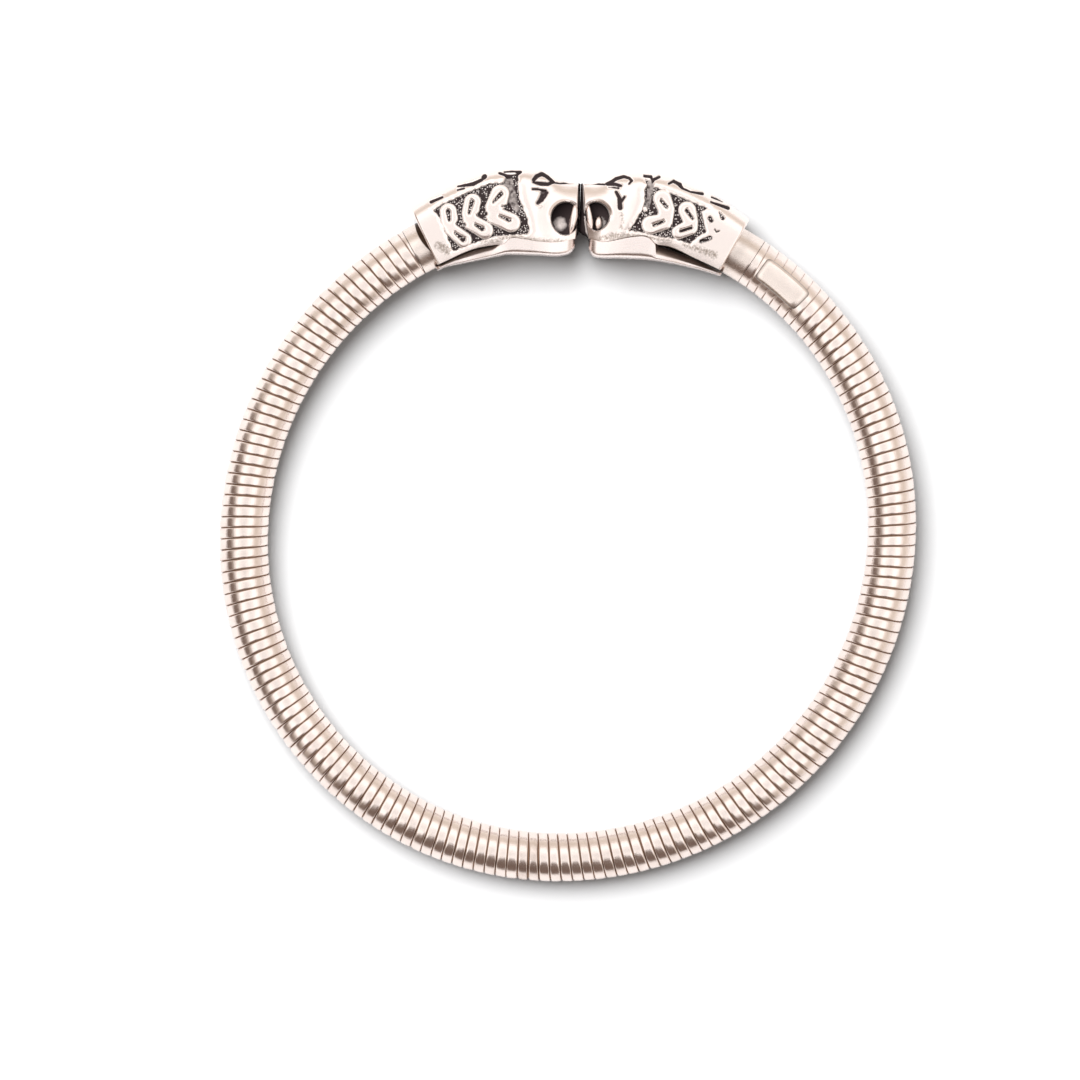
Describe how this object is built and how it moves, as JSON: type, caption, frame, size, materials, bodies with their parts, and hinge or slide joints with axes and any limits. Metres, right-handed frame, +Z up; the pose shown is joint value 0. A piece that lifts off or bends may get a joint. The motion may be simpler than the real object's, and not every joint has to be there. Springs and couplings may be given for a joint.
{
  "type": "bangle",
  "caption": "Spring-coil silver bangle, a ribbed tube ring whose ends are two cast big-cat heads facing each other.",
  "frame": {"origin": "middle of the ring, on the surface that the bangle lies on", "axes": "+Z up through the ring's hole, +Y from the middle of the ring to the gap between the heads, +X towards the right head"},
  "size_m": [0.0696, 0.0715, 0.0074],
  "materials": {
    "silver_coil": "worn silver coil with a warm tarnish in its grooves",
    "silver_sleeve": "plain worn silver tube, warm solder stain at its ends",
    "cast_silver": "cast silver, bright on the raised leaves, blackened in the ground",
    "silver_plate": "smooth worn silver plate"
  },
  "bodies": {
    "root": {"coil_band": "silver_coil", "left_end_sleeve": "silver_sleeve", "right_end_sleeve": "silver_sleeve", "left_head": "cast_silver", "right_head": "cast_silver", "left_jaw_plate": "silver_plate", "right_jaw_plate": "silver_plate"}
  },
  "joints": []
}
